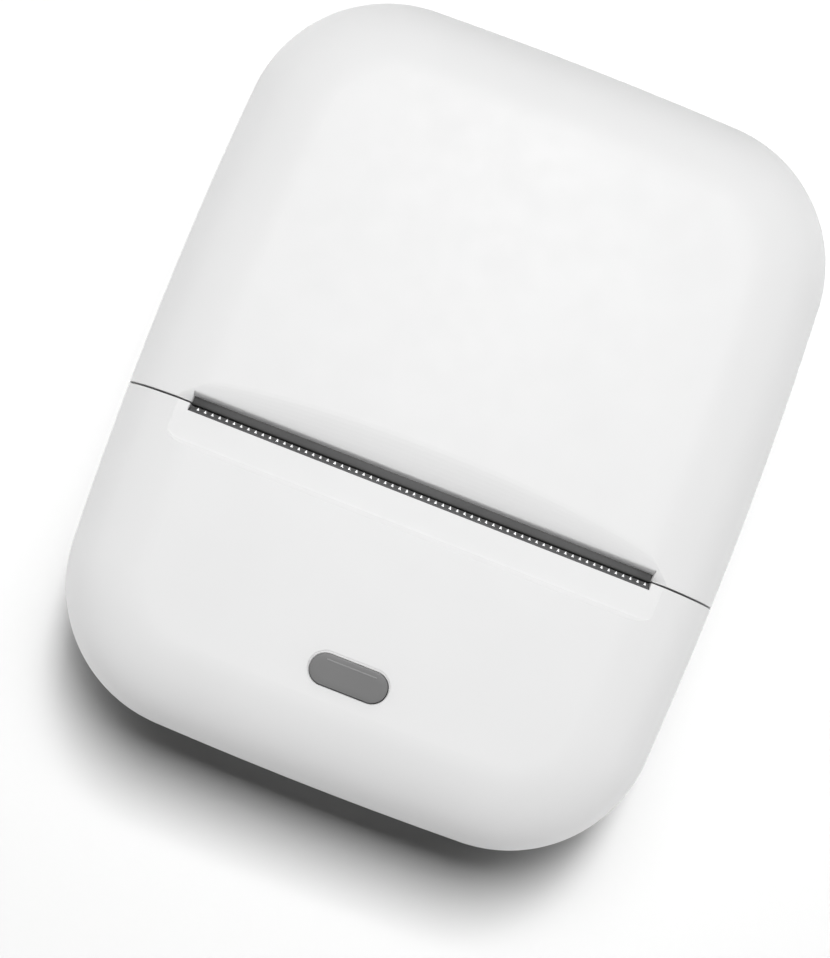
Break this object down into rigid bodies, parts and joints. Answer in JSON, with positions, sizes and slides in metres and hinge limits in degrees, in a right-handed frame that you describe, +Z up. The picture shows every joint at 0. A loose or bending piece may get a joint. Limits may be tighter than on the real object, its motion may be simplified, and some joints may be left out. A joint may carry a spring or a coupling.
{
  "type": "thermal stencil printer",
  "caption": "Pocket thermal stencil printer: rounded casing, rear-hinged paper cover, serrated tear slot, geared platen and push button.",
  "frame": {"origin": "on the surface it rests on, under the middle of the casing", "axes": "+Z up through the slotted face, +Y from the button end towards the hinge end, X along the slot"},
  "size_m": [0.08, 0.099, 0.0413],
  "materials": {
    "case_white": "satin moulded white",
    "button_grey": "satin moulded grey",
    "frame_grey": "moulded, fine spark texture",
    "foot_rubber": "soft pale grey",
    "platen_rubber": "ground black",
    "screw_steel": "plated",
    "pin_steel": "ground",
    "sheet_steel": "pressed and plated",
    "blade_steel": "stamped",
    "gear_acetal": "moulded acetal",
    "pinion_brass": "hobbed",
    "heater_ceramic": "glazed",
    "sink_aluminium": "extruded",
    "board_green": "solder mask",
    "black_plastic": "moulded",
    "white_nylon": "moulded",
    "led_resin": "clear cast",
    "cell_foil": "laminated foil pouch",
    "foam_tape": "foam",
    "wire_cover": "insulated wire",
    "flex_film": "polyimide film"
  },
  "bodies": {
    "case": {"bottom_case": "case_white", "front_case": "case_white", "rubber_feet": "foot_rubber", "case_screws": "screw_steel", "inner_frame": "frame_grey", "chassis": "frame_grey", "chassis_screws": "screw_steel", "head_springs": "pin_steel", "head_flex": "flex_film", "battery_lead": "wire_cover", "motor_lead": "wire_cover", "stepper_motor": "sheet_steel", "motor_screws": "screw_steel", "idler_axle": "pin_steel", "tear_blade": "blade_steel", "main_board": "board_green", "usb_socket": "sheet_steel", "tact_switch": "black_plastic", "status_led": "led_resin", "radio_module": "sheet_steel", "board_chips": "black_plastic", "board_connectors": "white_nylon", "battery_cell": "cell_foil", "battery_tape": "foam_tape", "paper_sensor": "black_plastic", "board_screws": "screw_steel", "hinge_pin": "pin_steel"},
    "cover": {"paper_cover": "case_white", "platen_bracket": "sheet_steel", "bracket_screws": "screw_steel", "platen_bushes": "gear_acetal"},
    "platen": {"platen_shaft": "pin_steel", "platen_roller": "platen_rubber", "platen_gear": "gear_acetal", "shaft_clip": "pin_steel"},
    "idler": {"idler_gear": "gear_acetal"},
    "rotor": {"motor_shaft": "pin_steel", "motor_pinion": "pinion_brass"},
    "button": {"power_button": "button_grey", "switch_plunger": "black_plastic"},
    "head": {"print_head": "heater_ceramic", "head_heatsink": "sink_aluminium"}
  },
  "joints": [
    {"name": "cover_hinge", "type": "hinge", "parent": "case", "child": "cover", "pos_m": [0, 0.0468, 0.02], "axis": [-1, 0, 0], "range_deg": [0, 90]},
    {"name": "platen_spin", "type": "hinge", "parent": "cover", "child": "platen", "pos_m": [0, -0.0055, 0.03], "axis": [1, 0, 0], "continuous": true},
    {"name": "idler_spin", "type": "hinge", "parent": "case", "child": "idler", "pos_m": [0, -0.007, 0.02214], "axis": [1, 0, 0], "continuous": true},
    {"name": "motor_spin", "type": "hinge", "parent": "case", "child": "rotor", "pos_m": [0, -0.01915, 0.0175], "axis": [1, 0, 0], "continuous": true},
    {"name": "button_press", "type": "slide", "parent": "case", "child": "button", "axis": [0, 0, -1], "range_m": [0, 0.0003], "stiffness_N_per_m": 800, "springref_m": -0.0005},
    {"name": "head_pivot", "type": "hinge", "parent": "case", "child": "head", "pos_m": [0, -0.0132, 0.0274], "axis": [1, 0, 0], "range_deg": [0, 2.5], "stiffness_Nm_per_rad": 0.4, "springref_deg": -8.59, "deforming": ["head_springs", "head_flex"]}
  ],
  "couplings": [
    {"joint": "idler_spin", "follows": "platen_spin", "ratio": -1.6667},
    {"joint": "motor_spin", "follows": "platen_spin", "ratio": 5.5556}
  ]
}
